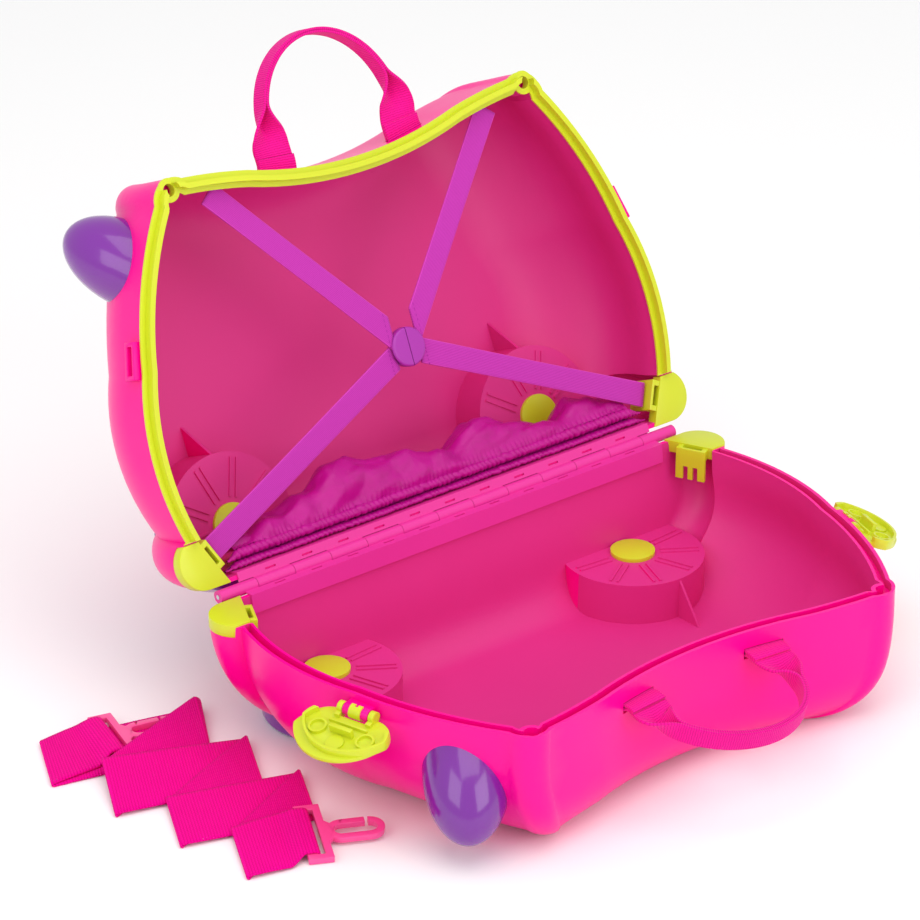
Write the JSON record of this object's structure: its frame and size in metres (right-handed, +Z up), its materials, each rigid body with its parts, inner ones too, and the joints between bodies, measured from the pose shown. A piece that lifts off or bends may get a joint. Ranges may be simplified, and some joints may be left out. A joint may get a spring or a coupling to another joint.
{
  "type": "ride-on suitcase",
  "caption": "Ride-on suitcase standing open: moulded halves on a hinge, with wheels, horns, catches, webbing handles, a seal, elastic straps, a pocket and a tow strap.",
  "frame": {"origin": "on the floor, in the middle of the base's side face, halfway along the hinge", "axes": "+Z up; +X along the hinge, towards the end without horns; -Y from the hinge towards the saddle"},
  "size_m": [0.6001, 0.5218, 0.4122],
  "materials": {
    "pink_shell": "glossy hot pink moulding",
    "pink_hinge": "satin hot pink moulding",
    "lime_plastic": "satin lime moulding",
    "purple_plastic": "glossy purple moulding",
    "steel": "plain turned steel",
    "pink_webbing": "woven hot pink webbing",
    "violet_elastic": "woven violet elastic",
    "magenta_cloth": "shirred magenta satin cloth",
    "violet_plastic": "satin violet moulding",
    "hook_plastic": "satin light pink moulding"
  },
  "bodies": {
    "base": {"base_shell": "pink_shell", "base_left_corner_block": "lime_plastic", "base_right_corner_block": "lime_plastic", "base_hinge_leaf": "pink_hinge", "hinge_pin": "steel", "base_axles": "steel", "base_axle_caps": "lime_plastic", "base_axle_washers": "steel", "base_horn": "purple_plastic", "base_handle": "pink_webbing", "base_handle_pins": "pink_shell", "left_catch_bracket": "pink_shell", "right_catch_bracket": "pink_shell", "left_catch_clip": "lime_plastic", "right_catch_clip": "lime_plastic", "left_catch_pin": "lime_plastic", "right_catch_pin": "lime_plastic", "tow_strap": "pink_webbing", "first_tow_hook": "hook_plastic", "last_tow_hook": "hook_plastic"},
    "lid": {"lid_shell": "pink_shell", "lid_seal": "lime_plastic", "lid_left_corner_block": "lime_plastic", "lid_right_corner_block": "lime_plastic", "lid_hinge_leaf": "pink_hinge", "lid_axles": "steel", "lid_axle_caps": "lime_plastic", "lid_axle_washers": "steel", "lid_horn": "purple_plastic", "lid_handle": "pink_webbing", "lid_handle_pins": "pink_shell", "left_catch_strike": "pink_shell", "right_catch_strike": "pink_shell", "left_upper_strap": "violet_elastic", "right_upper_strap": "violet_elastic", "left_lower_strap": "violet_elastic", "right_lower_strap": "violet_elastic", "left_buckle_half": "violet_plastic", "right_buckle_half": "violet_plastic", "pocket_bag": "magenta_cloth", "pocket_lips": "magenta_cloth"},
    "base_left_roller": {"base_left_wheel": "purple_plastic"},
    "base_right_roller": {"base_right_wheel": "purple_plastic"},
    "lid_left_roller": {"lid_left_wheel": "purple_plastic"},
    "lid_right_roller": {"lid_right_wheel": "purple_plastic"},
    "left_catch": {"left_catch_lever": "lime_plastic"},
    "left_lock": {"left_catch_lock": "lime_plastic"},
    "right_catch": {"right_catch_lever": "lime_plastic"},
    "right_lock": {"right_catch_lock": "lime_plastic"}
  },
  "joints": [
    {"name": "lid_hinge", "type": "hinge", "parent": "base", "child": "lid", "pos_m": [0, 0.14, 0.097], "axis": [1, 0, 0], "range_deg": [0, 114.3]},
    {"name": "base_left_roll", "type": "hinge", "parent": "base", "child": "base_left_roller", "pos_m": [-0.138, 0.106, 0.015], "axis": [0, 0, 1], "continuous": true},
    {"name": "lid_left_roll", "type": "hinge", "parent": "lid", "child": "lid_left_roller", "pos_m": [-0.138, 0.22873, 0.09424], "axis": [0, 0.9114, -0.4115], "continuous": true},
    {"name": "left_catch_swing", "type": "hinge", "parent": "base", "child": "left_catch", "pos_m": [-0.21649, -0.02967, 0.087], "axis": [0.2691, -0.9631, 0], "range_deg": [-108, 30]},
    {"name": "left_lock_turn", "type": "hinge", "parent": "left_catch", "child": "left_lock", "pos_m": [-0.24214, -0.03684, 0.07835], "axis": [0.2976, 0.0832, -0.9511], "range_deg": [0, 90]},
    {"name": "base_right_roll", "type": "hinge", "parent": "base", "child": "base_right_roller", "pos_m": [0.138, 0.106, 0.015], "axis": [0, 0, 1], "continuous": true},
    {"name": "lid_right_roll", "type": "hinge", "parent": "lid", "child": "lid_right_roller", "pos_m": [0.138, 0.22873, 0.09424], "axis": [0, 0.9114, -0.4115], "continuous": true},
    {"name": "right_catch_swing", "type": "hinge", "parent": "base", "child": "right_catch", "pos_m": [0.21649, -0.02967, 0.087], "axis": [0.2691, 0.9631, 0], "range_deg": [-108, 30]},
    {"name": "right_lock_turn", "type": "hinge", "parent": "right_catch", "child": "right_lock", "pos_m": [0.24214, -0.03684, 0.07835], "axis": [-0.2976, 0.0832, -0.9511], "range_deg": [0, 90]}
  ]
}
